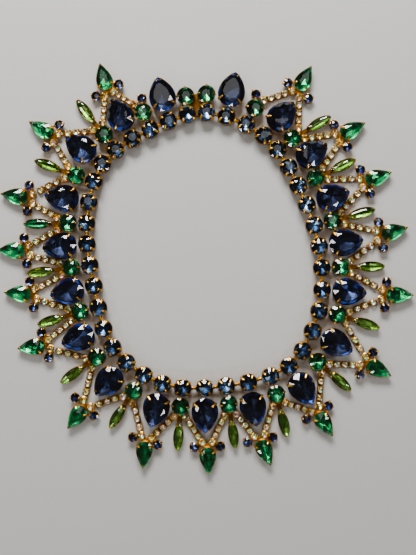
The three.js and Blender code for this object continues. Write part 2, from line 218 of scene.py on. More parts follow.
def worn_and_shaded_plating_group():
    group, entry, result = new_group(
        "worn plating",
        [("Bright", "Color"), ("Dull", "Color"), ("Dirt Height", "Float"), ("Grain", "Float")],
        [("Color", "Color"), ("Roughness", "Float"), ("Height", "Float")],
    )
    nodes, links = group.nodes, group.links
    place = nodes.new("ShaderNodeTexCoord")
    split = nodes.new("ShaderNodeSeparateXYZ")
    links.new(place.outputs["Object"], split.inputs[0])
    blotch = nodes.new("ShaderNodeTexNoise")
    blotch.inputs["Scale"].default_value = BLOTCHES_PER_METRE
    blotch.inputs["Detail"].default_value = BLOTCH_DETAIL
    links.new(place.outputs["Object"], blotch.inputs["Vector"])
    grain = nodes.new("ShaderNodeTexNoise")
    links.new(place.outputs["Object"], grain.inputs["Vector"])
    links.new(entry.outputs["Grain"], grain.inputs["Scale"])
    # Painted shade: darker towards the foot of the piece, fading out at the shade height
    height = nodes.new("ShaderNodeMapRange")
    links.new(split.outputs["Z"], height.inputs["Value"])
    links.new(entry.outputs["Dirt Height"], height.inputs["From Max"])
    height.inputs["From Min"].default_value = 0
    height.inputs["To Min"].default_value = SHADE_AT_THE_FOOT
    height.inputs["To Max"].default_value = 0
    # Random tarnish blotches added to the painted shade
    shade_and_blotches = nodes.new("ShaderNodeMath")
    shade_and_blotches.operation = "MULTIPLY_ADD"
    links.new(blotch.outputs["Fac"], shade_and_blotches.inputs[0])
    shade_and_blotches.inputs[1].default_value = BLOTCH_SHARE
    links.new(height.outputs["Result"], shade_and_blotches.inputs[2])
    mix = nodes.new("ShaderNodeMix")
    mix.data_type = "RGBA"
    links.new(shade_and_blotches.outputs[0], mix.inputs["Factor"])
    links.new(entry.outputs["Bright"], mix.inputs["A"])
    links.new(entry.outputs["Dull"], mix.inputs["B"])
    links.new(mix.outputs["Result"], result.inputs["Color"])
    rough = nodes.new("ShaderNodeMapRange")
    links.new(shade_and_blotches.outputs[0], rough.inputs["Value"])
    rough.inputs["To Min"].default_value = BRIGHT_ROUGHNESS
    rough.inputs["To Max"].default_value = DULL_ROUGHNESS
    links.new(rough.outputs["Result"], result.inputs["Roughness"])
    links.new(grain.outputs["Fac"], result.inputs["Height"])
    return group


worn_and_shaded_plating = worn_and_shaded_plating_group()


def gilt_material(name, bright, dull, shade_height, grain):
    material = bpy.data.materials.new(name)
    material.use_nodes = True
    nodes, links = material.node_tree.nodes, material.node_tree.links
    shader = nodes["Principled BSDF"]
    shader.inputs["Metallic"].default_value = 1
    wear_and_shade = nodes.new("ShaderNodeGroup")
    wear_and_shade.node_tree = worn_and_shaded_plating
    wear_and_shade.inputs["Bright"].default_value = bright
    wear_and_shade.inputs["Dull"].default_value = dull
    wear_and_shade.inputs["Dirt Height"].default_value = shade_height * MM
    wear_and_shade.inputs["Grain"].default_value = grain
    bump = nodes.new("ShaderNodeBump")
    bump.inputs["Strength"].default_value = GRAIN_STRENGTH
    bump.inputs["Distance"].default_value = GRAIN_DEPTH * MM
    links.new(wear_and_shade.outputs["Color"], shader.inputs["Base Color"])
    links.new(wear_and_shade.outputs["Roughness"], shader.inputs["Roughness"])
    links.new(wear_and_shade.outputs["Height"], bump.inputs["Height"])
    links.new(bump.outputs["Normal"], shader.inputs["Normal"])
    return material


# Each of these darkens towards its foot up to its shade height, as painted shade. The cups and the gilt in
# the shade start from a shaded gold, as painted shade in the gaps; the last is shaded nearly all over.
gilt = gilt_material("gilt brass", GOLD, TARNISH_AND_SHADE, shade_height=3.6, grain=1800)
cup_gilt = gilt_material("gilt cups", SHADED_GOLD, TARNISH_AND_SHADE, shade_height=4.2, grain=1500)
low_gilt = gilt_material("gilt low settings", GOLD, TARNISH_AND_SHADE, shade_height=1.9, grain=2200)
dark_gilt = gilt_material("gilt in the shade", SHADED_GOLD, TARNISH_AND_SHADE, shade_height=14, grain=1500)

# Foiled glass of the stones: pressed and cut with a table and facets, over a mirror foil that throws
# the light out again in the colour of the glass. Most of the light passes through the glass to it.
SHADOW_OF_GLASS = 0.2
REFRACTIVE_INDEX = 1.56
FACET_CONTRAST = 2.6
FLASH_FROM_TONE = 0.93
FOIL_ROUGHNESS = 0.27


def glass_material(name, tint, roughness=0.02):
    material = bpy.data.materials.new(name)
    material.use_nodes = True
    nodes, links = material.node_tree.nodes, material.node_tree.links
    shader = nodes["Principled BSDF"]
    shader.inputs["Base Color"].default_value = (*tint, 1)
    shader.inputs["Roughness"].default_value = roughness
    shader.inputs["IOR"].default_value = REFRACTIVE_INDEX
    shader.inputs["Transmission Weight"].default_value = 1
    ray = nodes.new("ShaderNodeLightPath")
    clear = nodes.new("ShaderNodeMapRange")
    clear.inputs["To Min"].default_value = 1
    clear.inputs["To Max"].default_value = SHADOW_OF_GLASS
    links.new(ray.outputs["Is Shadow Ray"], clear.inputs["Value"])
    links.new(clear.outputs["Result"], shader.inputs["Alpha"])
    return material


def facet_tone_group():
    group, entry, result = new_group(
        "facet tone",
        [("Deep", "Color"), ("Lively", "Color"), ("Edge", "Color"), ("Pale", "Color")],
        [("Color", "Color")],
    )
    nodes, links = group.nodes, group.links
    tone = nodes.new("ShaderNodeAttribute")
    tone.attribute_name = "tone"
    edge = nodes.new("ShaderNodeAttribute")
    edge.attribute_name = "edge"
    contrast = nodes.new("ShaderNodeMath")
    contrast.operation = "POWER"
    contrast.inputs[1].default_value = FACET_CONTRAST
    links.new(tone.outputs["Fac"], contrast.inputs[0])
    outer = nodes.new("ShaderNodeMix")
    outer.data_type = "RGBA"
    links.new(edge.outputs["Fac"], outer.inputs["Factor"])
    links.new(entry.outputs["Lively"], outer.inputs["A"])
    links.new(entry.outputs["Edge"], outer.inputs["B"])
    body = nodes.new("ShaderNodeMix")
    body.data_type = "RGBA"
    links.new(contrast.outputs[0], body.inputs["Factor"])
    links.new(entry.outputs["Deep"], body.inputs["A"])
    links.new(outer.outputs["Result"], body.inputs["B"])
    flash = nodes.new("ShaderNodeMath")
    flash.operation = "GREATER_THAN"
    flash.inputs[1].default_value = FLASH_FROM_TONE
    links.new(tone.outputs["Fac"], flash.inputs[0])
    mix = nodes.new("ShaderNodeMix")
    mix.data_type = "RGBA"
    links.new(flash.outputs[0], mix.inputs["Factor"])
    links.new(body.outputs["Result"], mix.inputs["A"])
    links.new(entry.outputs["Pale"], mix.inputs["B"])
    links.new(mix.outputs["Result"], result.inputs["Color"])
    return group


facet_tone = facet_tone_group()


def foil_material(name, deep, lively, edge, pale):
    material = bpy.data.materials.new(name)
    material.use_nodes = True
    nodes, links = material.node_tree.nodes, material.node_tree.links
    shader = nodes["Principled BSDF"]
    shader.inputs["Metallic"].default_value = 1
    shader.inputs["Roughness"].default_value = FOIL_ROUGHNESS
    tone = nodes.new("ShaderNodeGroup")
    tone.node_tree = facet_tone
    tone.inputs["Deep"].default_value = (*deep, 1)
    tone.inputs["Lively"].default_value = (*lively, 1)
    tone.inputs["Edge"].default_value = (*edge, 1)
    tone.inputs["Pale"].default_value = (*pale, 1)
    links.new(tone.outputs["Color"], shader.inputs["Base Color"])
    return material


# Outline of a stone: length, width, and how sharp its point and its tail are. A place on it is given
# by an angle that runs round from the point.
def outline_point(t, outline):
    length, width, point, tail = outline

    def narrowing(u):
        return abs(math.sin(u / 2)) ** point * abs(math.cos(u / 2)) ** tail

    widest = max(math.sin(u) * narrowing(u) for u in (math.pi * step / 90 for step in range(90)))
    return Vector((length / 2 * math.cos(t), width / 2 * math.sin(t) * narrowing(t) / widest, 0))


def outline_outward(t, outline):
    step = 0.02
    along = outline_point(t + step, outline) - outline_point(t - step, outline)
    return math.atan2(-along.x, along.y)


# Cut of a stone, from the table down to the culet. The table and the waist of the pavilion are given
# as shares of the outline, along it and across it. Facets are marked as back or front, and those
# next to the edge of the back apart, because the foil takes another colour there. On the blue pears
# and the green drops that colour is brighter, as a painted glow of light through the rim.
GIRDLE_HALF = 0.12
CROWN_BEND = 0.52
CROWN_FULLNESS = 0.03
SHOULDER_DEPTH = 0.34
BELLY_DEPTH = 0.66


def cut_stone(name, outline, facets, girdle, table_share, crown, pavilion, waist=(0.5, 0.5)):
    points = []

    def ring(count, offset, share, height):
        first = len(points)
        for k in range(count):
            place = outline_point(2 * math.pi * (k + offset) / count, outline)
            points.append((place.x * share[0], place.y * share[1], girdle + height))
        return [first + k for k in range(count)]

    half_way = [(1 + share) / 2 + CROWN_FULLNESS for share in table_share]
    table = ring(facets, 0, table_share, crown)
    mid = ring(facets, 0.5, half_way, crown * CROWN_BEND)
    rim = ring(2 * facets, 0, (1, 1), GIRDLE_HALF)
    edge = ring(2 * facets, 0, (1, 1), -GIRDLE_HALF)
    waist_out = [(1 + share) / 2 for share in waist]
    shoulder = ring(facets, 0.5, waist_out, -pavilion * SHOULDER_DEPTH)
    belly = ring(facets, 0, waist, -pavilion * BELLY_DEPTH)
    points.append(Vector((0, 0, girdle - pavilion)))
    culet = len(points) - 1
    front = [tuple(table)]
    outer = []
    inner = []
    for k in range(facets):
        n = (k + 1) % facets
        left, middle, right = rim[2 * k], rim[2 * k + 1], rim[(2 * k + 2) % (2 * facets)]
        front += [(table[k], mid[k], table[n])]
        front += [(table[k], left, mid[k]), (table[n], mid[k], right)]
        front += [(mid[k], left, middle), (mid[k], middle, right)]
        low_left, low_middle, low_right = edge[2 * k], edge[2 * k + 1], edge[(2 * k + 2) % (2 * facets)]
        front += [(left, low_left, low_middle, middle), (middle, low_middle, low_right, right)]
        before = shoulder[k - 1]
        outer += [(low_left, shoulder[k], low_middle), (low_middle, shoulder[k], low_right)]
        outer += [(low_left, before, shoulder[k])]
        inner += [(shoulder[k], before, belly[k]), (shoulder[k], belly[k], belly[n])]
        inner += [(belly[k], culet, belly[n])]
    mesh = solid_mesh(name, points, front + outer + inner)
    mesh.attributes.new("back", "BOOLEAN", "FACE")
    mesh.attributes.new("edge", "FLOAT", "FACE")
    on_back = [index >= len(front) for index in range(len(mesh.polygons))]
    on_edge = [len(front) <= index < len(front) + len(outer) for index in range(len(mesh.polygons))]
    mesh.attributes["back"].data.foreach_set("value", on_back)
    mesh.attributes["edge"].data.foreach_set("value", on_edge)
    return mesh


# Closed skin over rings of points that lie one over the other
def ringed_faces(sides, rings):
    faces = [tuple(range(sides))[::-1]]
    for level in range(rings - 1):
        for k in range(sides):
            n = (k + 1) % sides
            low, high = level * sides, (level + 1) * sides
            faces.append((low + k, low + n, high + n, high + k))
    faces.append(tuple((rings - 1) * sides + k for k in range(sides)))
    return faces


# Cup of a stone: a closed wall that follows the outline, given as (mm outside the outline, height)
def cup_mesh(name, outline, profile, sides):
    length, width = outline[:2]
    points = []
    for outside, height in profile:
        for k in range(sides):
            t = 2 * math.pi * k / sides
            place = outline_point(t, outline)
            stretch = Vector(((length + 2 * outside) / length, (width + 2 * outside) / width))
            points.append((place.x * stretch.x, place.y * stretch.y, height))
    return solid_mesh(name, points, ringed_faces(sides, len(profile)))


# Claw: a tapered strip with a domed face, bent over the girdle onto the crown. Its path is given as
# (mm outwards from the girdle, height over the girdle, half width)
def claw_mesh(name, path, thickness):
    section = [(-1, 0), (-0.7, 0.75), (0, 1), (0.7, 0.75), (1, 0)]
    points = []
    for index, (out, height, half_width) in enumerate(path):
        before = Vector(path[max(index - 1, 0)][:2])
        after = Vector(path[min(index + 1, len(path) - 1)][:2])
        along = (after - before).normalized()
        face = Vector((along.y, -along.x))
        for across, rise in section:
            lift = face * (rise * thickness)
            points.append((out + lift.x, across * half_width, height + lift.y))
    count = len(section)
    faces = [tuple(range(count))]
    for level in range(len(path) - 1):
        for k in range(count):
            n = (k + 1) % count
            low, high = level * count, (level + 1) * count
            faces.append((low + n, low + k, high + k, high + n))
    faces.append(tuple((len(path) - 1) * count + k for k in reversed(range(count))))
    return solid_mesh(name, points, faces)


# A tree that lays a copy of one shape on every seat: seats are points that carry a turn and a size.
# Each face of the copies then gets a tone of its own by chance, which the foils read.
TONE_SEED = 17


def lay_on_seats_tree():
    tree = bpy.data.node_groups.new("lay on seats", "GeometryNodeTree")
    add = tree.interface.new_socket
    add("Seats", in_out="INPUT", socket_type="NodeSocketGeometry")
    sockets = {
        "Shape": add("Shape", in_out="INPUT", socket_type="NodeSocketObject").identifier,
        "Front": add("Front", in_out="INPUT", socket_type="NodeSocketMaterial").identifier,
        "Back": add("Back", in_out="INPUT", socket_type="NodeSocketMaterial").identifier,
    }
    add("Pieces", in_out="OUTPUT", socket_type="NodeSocketGeometry")
    nodes, links = tree.nodes, tree.links
    entry = nodes.new("NodeGroupInput")
    result = nodes.new("NodeGroupOutput")
    shape = nodes.new("GeometryNodeObjectInfo")
    links.new(entry.outputs["Shape"], shape.inputs["Object"])
    copies = nodes.new("GeometryNodeInstanceOnPoints")
    links.new(entry.outputs["Seats"], copies.inputs["Points"])
    links.new(shape.outputs["Geometry"], copies.inputs["Instance"])
    for label, socket in (("turn", "Rotation"), ("size", "Scale")):
        value = nodes.new("GeometryNodeInputNamedAttribute")
        value.data_type = "FLOAT_VECTOR"
        value.inputs["Name"].default_value = label
        links.new(value.outputs["Attribute"], copies.inputs[socket])
    real = nodes.new("GeometryNodeRealizeInstances")
    links.new(copies.outputs["Instances"], real.inputs["Geometry"])
    chance = nodes.new("FunctionNodeRandomValue")
    chance.data_type = "FLOAT"
    chance.inputs["Seed"].default_value = TONE_SEED
    keep = nodes.new("GeometryNodeStoreNamedAttribute")
    keep.data_type = "FLOAT"
    keep.domain = "FACE"
    keep.inputs["Name"].default_value = "tone"
    links.new(real.outputs["Geometry"], keep.inputs["Geometry"])
    links.new(chance.outputs[1], keep.inputs["Value"])
    front = nodes.new("GeometryNodeSetMaterial")
    links.new(keep.outputs["Geometry"], front.inputs["Geometry"])
    links.new(entry.outputs["Front"], front.inputs["Material"])
    back = nodes.new("GeometryNodeSetMaterial")
    flag = nodes.new("GeometryNodeInputNamedAttribute")
    flag.data_type = "BOOLEAN"
    flag.inputs["Name"].default_value = "back"
    links.new(front.outputs["Geometry"], back.inputs["Geometry"])
    links.new(flag.outputs["Attribute"], back.inputs["Selection"])
    links.new(entry.outputs["Back"], back.inputs["Material"])
    links.new(back.outputs["Geometry"], result.inputs["Pieces"])
    return tree, sockets


lay_on_seats, lay_sockets = lay_on_seats_tree()


# Seats here are (x, y, z, tilt x, tilt y, turn, size)
def lay(name, shape, seats, front, back=None):
    mesh = bpy.data.meshes.new(name)
    places = [((x + SHIFT_X) * MM, (y + SHIFT_Y) * MM, z * MM) for x, y, z, *_ in seats]
    mesh.from_pydata(places, [], [])
    mesh.attributes.new("turn", "FLOAT_VECTOR", "POINT")
    mesh.attributes.new("size", "FLOAT_VECTOR", "POINT")
    for index, (_, _, _, tilt_x, tilt_y, angle, scale) in enumerate(seats):
        mesh.attributes["turn"].data[index].vector = (tilt_x, tilt_y, angle)
        mesh.attributes["size"].data[index].vector = (scale, scale, scale)
    points = bpy.data.objects.new(name + " seats", mesh)
    bpy.context.collection.objects.link(points)
    template = bpy.data.objects.new(name + " shape", shape)
    bpy.context.collection.objects.link(template)
    modifier = points.modifiers.new("lay on seats", "NODES")
    modifier.node_group = lay_on_seats
    modifier[lay_sockets["Shape"]] = template
    modifier[lay_sockets["Front"]] = front
    modifier[lay_sockets["Back"]] = back or front
    bpy.context.view_layer.update()
    evaluated = points.evaluated_get(bpy.context.evaluated_depsgraph_get())
    laid = bpy.data.meshes.new_from_object(evaluated)
    laid.name = name
    points.modifiers.clear()
    bpy.data.objects.remove(points)
    bpy.data.objects.remove(template)
    return laid


# Several laid meshes become one piece of the necklace, riding on its only body
def piece(name, meshes, nodes):
    joined = bpy.data.objects.new(name, meshes[0])
    bpy.context.collection.objects.link(joined)
    others = []
    for mesh in meshes[1:]:
        other = bpy.data.objects.new(mesh.name, mesh)
        bpy.context.collection.objects.link(other)
        others.append(other)
    if others:
        with bpy.context.temp_override(active_object=joined, selected_editable_objects=[joined, *others]):
            bpy.ops.object.join()
    joined.data.name = name
    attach(joined, "root")
    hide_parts(*nodes)


# Claw seats round a stone: places on its outline, facing away from the stone
def claws_on(seat, outline, girdle, parameters, size=1.0):
    x, y, outward = seat[:3]
    seats = []
    for t in parameters:
        place = Matrix.Rotation(outward, 3, "Z") @ outline_point(t, outline)
        angle = outward + outline_outward(t, outline)
        seats.append((x + place.x, y + place.y, girdle, 0, 0, angle, size))
    return seats


# Stones lie a few degrees off level by chance, and metal pieces lie flat
rng = random.Random(39)


def settle(seat, tilt, size=1.0):
    x, y, outward = seat[:3]
    lean = math.radians(tilt)
    return (x, y, 0, rng.uniform(-lean, lean), rng.uniform(-lean, lean), outward, size)


def flat(seats):
    return [(x, y, 0, 0, 0, turn, 1) for x, y, turn in seats]


DIAGONALS = [math.pi / 4 + quarter * math.pi / 2 for quarter in range(4)]
QUARTERS = [quarter * math.pi / 2 for quarter in range(4)]

# Stones, cups and claws of the row
CHATON_GIRDLE = 4.1
CHATON_STONE = 8.3
CHATON_TABLE = (0.46, 0.46)
CHATON_CROWN = 1.6
ROUND_CUP_SIDES = 24
chaton_outline = (CHATON_STONE, CHATON_STONE, 0, 0)
neck_glass = glass_material("steel blue glass", tint=(0.5, 0.62, 0.78))
neck_foil = foil_material(
    "steel blue foil", deep=(0.003, 0.006, 0.014), lively=(0.06, 0.13, 0.25),
    edge=(0.04, 0.09, 0.18), pale=(0.6, 0.85, 1.0),
)
chaton_seats = {cup: seat_of(cup) for cup in range(1, CUP_COUNT + 1)}
row_seats = [seat for cup, seat in chaton_seats.items() if cup not in CLASP_CUPS]
over_clasp_seats = [chaton_seats[cup] for cup in CLASP_CUPS]
chaton_stone = cut_stone(
    "chaton stone", chaton_outline, facets=8, girdle=CHATON_GIRDLE, table_share=CHATON_TABLE,
    crown=CHATON_CROWN, pavilion=2.9,
)
shallow_stone = cut_stone(
    "shallow chaton stone", chaton_outline, facets=8, girdle=CHATON_GIRDLE, table_share=CHATON_TABLE,
    crown=CHATON_CROWN, pavilion=1.6,
)
neck_stones = lay(
    "neck row stones", chaton_stone, [settle(seat, tilt=5) for seat in row_seats], neck_glass, neck_foil
)
clasp_stones = lay(
    "clasp stones", shallow_stone, [settle(seat, tilt=4) for seat in over_clasp_seats], neck_glass, neck_foil
)
deep_cup = cup_mesh("deep cup", chaton_outline, (
    (-0.5, 0), (-0.3, 0.15), (-0.15, 0.6), (-0.02, 2.6), (0.1, 3.5), (0.12, 3.9), (0.0, 4.0),
    (-0.15, 3.8), (-0.7, 2.2), (-1.2, 1.0),
), ROUND_CUP_SIDES)
shallow_cup = cup_mesh("shallow cup", chaton_outline, (
    (-0.5, 2.05), (-0.2, 2.5), (0.1, 3.5), (0.12, 3.9), (0.0, 4.0), (-0.15, 3.8), (-0.7, 2.6), (-1.2, 2.3),
), ROUND_CUP_SIDES)
neck_cups = lay("neck row cups", deep_cup, flat(row_seats), cup_gilt)
clasp_cups = lay("clasp cups", shallow_cup, flat(over_clasp_seats), cup_gilt)
long_claw = claw_mesh("long claw", (
    (-0.1, -2.4, 0.42), (0.08, -0.9, 0.5), (0.18, -0.1, 0.55), (0.12, 0.45, 0.58), (-0.35, 1.0, 0.58),
    (-0.95, 1.4, 0.5), (-1.45, 1.62, 0.36), (-1.65, 1.66, 0.16),
), thickness=0.44)
neck_claws = lay("neck row claws", long_claw, [
    claw
    for seat in chaton_seats.values()
    for claw in claws_on(seat, chaton_outline, CHATON_GIRDLE, DIAGONALS)
], gilt)

# Barrel links, waisted in the middle: (share of the length, radius)
LINK_LENGTH = 2.6
LINK_HEIGHT = 2.95
LINK_SIDES = 10
link_profile = [
    (0.0, 0.7), (0.05, 1.0), (0.3, 1.15), (0.42, 0.9), (0.5, 0.7),
    (0.58, 0.9), (0.7, 1.15), (0.95, 1.0), (1.0, 0.7),
]
link_points = []
for along, radius in link_profile:
    for k in range(LINK_SIDES):
        angle = 2 * math.pi * k / LINK_SIDES
        link_points.append(((along - 0.5) * LINK_LENGTH, radius * math.cos(angle), radius * math.sin(angle)))
barrel_link = solid_mesh("barrel link", link_points, ringed_faces(LINK_SIDES, len(link_profile)))
link_seats = []
for cup in range(2, CUP_COUNT + 1):
    here, there = cup_place(cup), cup_place(cup + 1)
    middle = (here + there) / 2
    turn = math.atan2(there.y - here.y, there.x - here.x)
    link_seats.append((middle.x, middle.y, LINK_HEIGHT, 0, 0, turn, 1))
neck_links = lay("neck row links", barrel_link, link_seats, gilt)

CHAIN_NODES = ["stone_chain_left", "stone_chain_right"]
piece("neck_row_stones", [neck_stones, clasp_stones], CHAIN_NODES)
piece("neck_row_cups", [neck_cups, clasp_cups, neck_claws, neck_links], CHAIN_NODES)

# Large pears
# Nineteen deep blue drops of foiled glass with a broad table, point outwards, each in a plain closed
# cup with two broad claws over its round end and two small ones beside its point.
PEAR_LENGTH = 17.0
PEAR_WIDTH = 13.2
PEAR_RIM = 0.5
PEAR_LEANS = {
    3: -4, 5: 4, 7: 0, 9: 5, 11: 2, 13: 1, 15: 4, 17: 7, 19: 2, 21: 2, 23: -3, 25: 2, 27: 0,
    29: -1.5, 31: -1.5, 33: -1, 35: 2, 37: 2, 39: 8,
}
PEAR_GIRDLE = 4.6
PEAR_POINT = 0.55
pear_distance = row_edge + PEAR_LENGTH / 2
pear_seats = {cup: seat_beyond(seat_of(cup), pear_distance, lean) for cup, lean in PEAR_LEANS.items()}
pear_outline = (PEAR_LENGTH - PEAR_RIM, PEAR_WIDTH - PEAR_RIM, PEAR_POINT, 0)
pear_glass = glass_material("deep blue glass", tint=(0.45, 0.52, 0.74), roughness=0.015)
# The bright blue edge colour is a painted glow of light through the rim of each pear
pear_foil = foil_material(
    "deep blue foil", deep=(0.004, 0.005, 0.01), lively=(0.024, 0.032, 0.06),
    edge=(0.04, 0.15, 0.75), pale=(0.06, 0.08, 0.15),
)
pear_stone = cut_stone(
    "pear stone", pear_outline, facets=10, girdle=PEAR_GIRDLE, table_share=(0.62, 0.62),
    crown=1.9, pavilion=3.4, waist=(0.55, 0.55),
)
pear_stones = lay(
    "pear stones", pear_stone, [settle(seat, tilt=4) for seat in pear_seats.values()], pear_glass, pear_foil
)
pear_cup = cup_mesh("pear cup", pear_outline, (
    (-1.1, 0), (-0.9, 0.15), (-0.7, 0.7), (-0.25, 2.6), (0.0, 4.0), (0.12, 4.4), (0.02, 4.55), (-0.15, 4.3),
    (-1.0, 2.8), (-2.4, 1.0),
), sides=36)
pear_cups = lay("pear cups", pear_cup, flat(pear_seats.values()), cup_gilt)
broad_claw = claw_mesh("broad claw", (
    (-0.1, -2.4, 0.5), (0.2, -0.8, 0.55), (0.34, 0.0, 0.58), (0.2, 0.5, 0.58), (-0.4, 1.0, 0.56),
    (-1.1, 1.4, 0.5), (-1.8, 1.8, 0.36), (-2.1, 1.9, 0.16),
), thickness=0.42)
PEAR_BROAD_CLAWS = [math.pi - 0.82, math.pi + 0.82]
PEAR_SMALL_CLAWS = [0.5, -0.5]
pear_claws = lay("pear claws", broad_claw, [
    claw
    for seat in pear_seats.values()
    for claw in claws_on(seat, pear_outline, PEAR_GIRDLE, PEAR_BROAD_CLAWS)
    + claws_on(seat, pear_outline, PEAR_GIRDLE, PEAR_SMALL_CLAWS, size=0.6)
], gilt)
PEAR_NODES = [f"blue_pear_{cup:02d}" for cup in pear_seats]
piece("blue_pear_stones", [pear_stones], PEAR_NODES)
piece("blue_pear_cups", [pear_cups, pear_claws], PEAR_NODES)

# Green rounds
# Twenty bright green brilliants of foiled glass in four-claw cups, soldered to the neck row: one
# between each two pears, and two over the clasp.
GREEN_GIRDLE = 4.1
GREEN_TABLE = (0.48, 0.48)
GREEN_CROWN = 1.5
GREEN_RIM = 0.4
END_CUPS = (4, 38)
green_outline = (GREEN_DIAMETER - GREEN_RIM, GREEN_DIAMETER - GREEN_RIM, 0, 0)
green_row_seats = [seat for cup, seat in green_seats.items() if cup not in CLASP_CUPS]
green_clasp_seats = [green_seats[cup] for cup in CLASP_CUPS]
green_glass = glass_material("emerald glass", tint=(0.2, 0.85, 0.5))
green_foil = foil_material(
    "emerald foil", deep=(0.0, 0.025, 0.01), lively=(0.006, 0.36, 0.17),
    edge=(0.006, 0.34, 0.16), pale=(0.25, 1.0, 0.6),
)
green_stone = cut_stone(
    "green round stone", green_outline, facets=8, girdle=GREEN_GIRDLE, table_share=GREEN_TABLE,
    crown=GREEN_CROWN, pavilion=3.0,
)
green_shallow_stone = cut_stone(
    "green shallow stone", green_outline, facets=8, girdle=GREEN_GIRDLE, table_share=GREEN_TABLE,
    crown=GREEN_CROWN, pavilion=1.6,
)
green_stones = lay("green round stones", green_stone, [
    settle(seat, tilt=5) for seat in green_row_seats
], green_glass, green_foil)
green_clasp_foil = foil_material(
    "shallow emerald foil", deep=(0.0, 0.012, 0.005), lively=(0.002, 0.13, 0.06),
    edge=(0.002, 0.1, 0.045), pale=(0.15, 0.8, 0.42),
)
green_clasp_stones = lay(
    "green clasp stones", green_shallow_stone, [settle(seat, tilt=4) for seat in green_clasp_seats],
    green_glass, green_clasp_foil,
)
green_cup = cup_mesh("green cup", green_outline, (
    (-0.7, 0), (-0.5, 0.15), (-0.3, 0.7), (-0.05, 2.8), (0.08, 3.5), (0.1, 3.9), (0.0, 4.0), (-0.15, 3.8),
    (-0.8, 2.4), (-1.8, 1.0),
), ROUND_CUP_SIDES)
green_shallow_cup = cup_mesh("green shallow cup", green_outline, (
    (-0.7, 2.05), (-0.4, 2.5), (0.08, 3.5), (0.1, 3.9), (0.0, 4.0), (-0.15, 3.8), (-0.8, 2.7), (-1.4, 2.3),
), ROUND_CUP_SIDES)
green_cups = lay("green cups", green_cup, flat(green_row_seats), cup_gilt)
green_clasp_cups = lay("green clasp cups", green_shallow_cup, flat(green_clasp_seats), cup_gilt)
short_claw = claw_mesh("short claw", (
    (-0.15, -2.2, 0.36), (0.08, -0.8, 0.42), (0.16, 0.0, 0.45), (0.1, 0.45, 0.46), (-0.35, 0.85, 0.44),
    (-0.85, 1.15, 0.34), (-1.1, 1.25, 0.16),
), thickness=0.38)
green_claws = lay("green claws", short_claw, [
    claw for seat in green_seats.values() for claw in claws_on(seat, green_outline, GREEN_GIRDLE, QUARTERS)
], gilt)


def green_node(cup):
    kind = "top" if cup in CLASP_CUPS else "end" if cup in END_CUPS else "leaf"
    return f"green_{kind}_{cup:02d}"


GREEN_NODES = [green_node(cup) for cup in green_seats]
piece("green_round_stones", [green_stones, green_clasp_stones], GREEN_NODES)
piece("green_round_cups", [green_cups, green_clasp_cups, green_claws], GREEN_NODES)

# Marquises
# Sixteen slim leaves of yellow-green glass, fluted along their length, each on a stem from its green
# round, with two claws at each end. One of them is a full green stone.
SPRAY_LIFT = 0.5
MARQUISE_LENGTH = 14.0
MARQUISE_WIDTH = 5.2
MARQUISE_START = 7.9
MARQUISE_GIRDLE = SPRAY_LIFT + 2.0
MARQUISE_POINT = 0.3
MARQUISE_END_RIM = 0.4
MARQUISE_SIDE_RIM = 0.3
LEAF_CUPS = range(6, 37, 2)
FULL_GREEN_LEAF = 32
marquise_outline = (
    MARQUISE_LENGTH - MARQUISE_END_RIM, MARQUISE_WIDTH - MARQUISE_SIDE_RIM, MARQUISE_POINT, MARQUISE_POINT
)
leaf_seats = {
    cup: seat_beyond(green_seats[cup], MARQUISE_START + MARQUISE_LENGTH / 2, 0) for cup in LEAF_CUPS
}
leaf_glass = glass_material("yellow-green glass", tint=(0.62, 0.82, 0.35))
leaf_foil = foil_material(
    "yellow-green foil", deep=(0.03, 0.07, 0.004), lively=(0.1, 0.21, 0.02),
    edge=(0.6, 0.85, 0.3), pale=(0.6, 0.85, 0.35),
)
# Cuts across and along a leaf, and how light each flute is between its two edges
LEAF_STATIONS = 8
LEAF_FLUTES = 7
LEAF_SHADES = (0.15, 0.75, 0.0, 1.0, 0.1, 0.6, 0.05)


def fluted_stone(name, outline, girdle, crown, pavilion):
    tips = [outline_point(0, outline), outline_point(math.pi, outline)]
    points = [(tip.x, 0, girdle) for tip in tips]
    top, bottom = [], []
    for station in range(1, LEAF_STATIONS):
        place = outline_point(math.pi * station / LEAF_STATIONS, outline)
        fullness = math.sqrt(place.y / (outline[1] / 2))
        upper, lower = [], []
        for line in range(LEAF_FLUTES + 1):
            across = 2 * line / LEAF_FLUTES - 1
            bulge = (1 - across**2) * fullness
            on_rim = line in (0, LEAF_FLUTES)
            upper.append(len(points))
            lower.append(len(points) if on_rim else len(points) + 1)
            points.append((place.x, across * place.y, girdle + crown * bulge))
            if not on_rim:
                points.append((place.x, across * place.y, girdle - pavilion * bulge))
        top.append(upper)
        bottom.append(lower)
    front, foiled = [], []
    for line in range(LEAF_FLUTES):
        front.append((0, top[0][line + 1], top[0][line]))
        foiled.append((0, bottom[0][line], bottom[0][line + 1]))
        for near, far in zip(top, top[1:]):
            front.append((near[line], near[line + 1], far[line + 1], far[line]))
        for near, far in zip(bottom, bottom[1:]):
            foiled.append((near[line + 1], near[line], far[line], far[line + 1]))
        front.append((1, top[-1][line], top[-1][line + 1]))
        foiled.append((1, bottom[-1][line + 1], bottom[-1][line]))
    mesh = solid_mesh(name, points, front + foiled)
    mesh.attributes.new("back", "BOOLEAN", "FACE")
    mesh.attributes.new("edge", "FLOAT", "FACE")
    mesh.attributes["back"].data.foreach_set("value", [False] * len(front) + [True] * len(foiled))
    shades = [LEAF_SHADES[index % len(front) // LEAF_STATIONS] for index in range(len(mesh.polygons))]
    mesh.attributes["edge"].data.foreach_set("value", shades)
    return mesh


